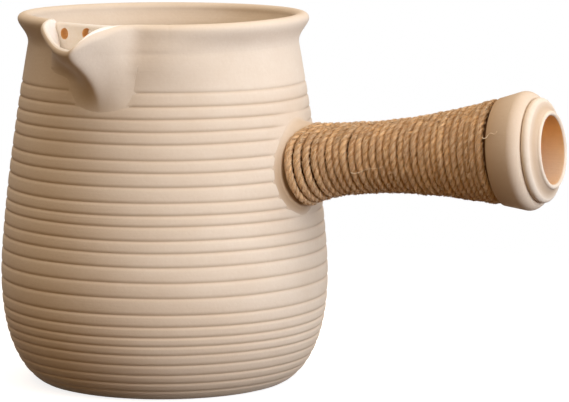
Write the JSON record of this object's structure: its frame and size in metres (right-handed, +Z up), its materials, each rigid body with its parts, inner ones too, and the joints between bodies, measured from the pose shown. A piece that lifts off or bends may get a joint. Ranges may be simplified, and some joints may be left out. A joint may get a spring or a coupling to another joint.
{
  "type": "side-handled clay kettle",
  "caption": "Open side-handled kettle of pale unglazed clay, with turned grooves, a pinched spout over a strainer screen, and a hollow flared handle wound with twine.",
  "frame": {"origin": "middle of the flat base, on the vessel's axis", "axes": "+Z up along the vessel's axis, +X along the handle seen from above, -Y out of the spout"},
  "size_m": [0.1949, 0.1265, 0.124],
  "materials": {
    "clay": "matte unglazed cream clay",
    "jute_twine": "coarse twisted jute"
  },
  "bodies": {
    "root": {"vessel": "clay", "strainer_screen": "clay", "spout": "clay", "handle_collar": "clay", "handle_tube": "clay", "handle_end_ring": "clay", "twine_wrap": "jute_twine"}
  },
  "joints": []
}
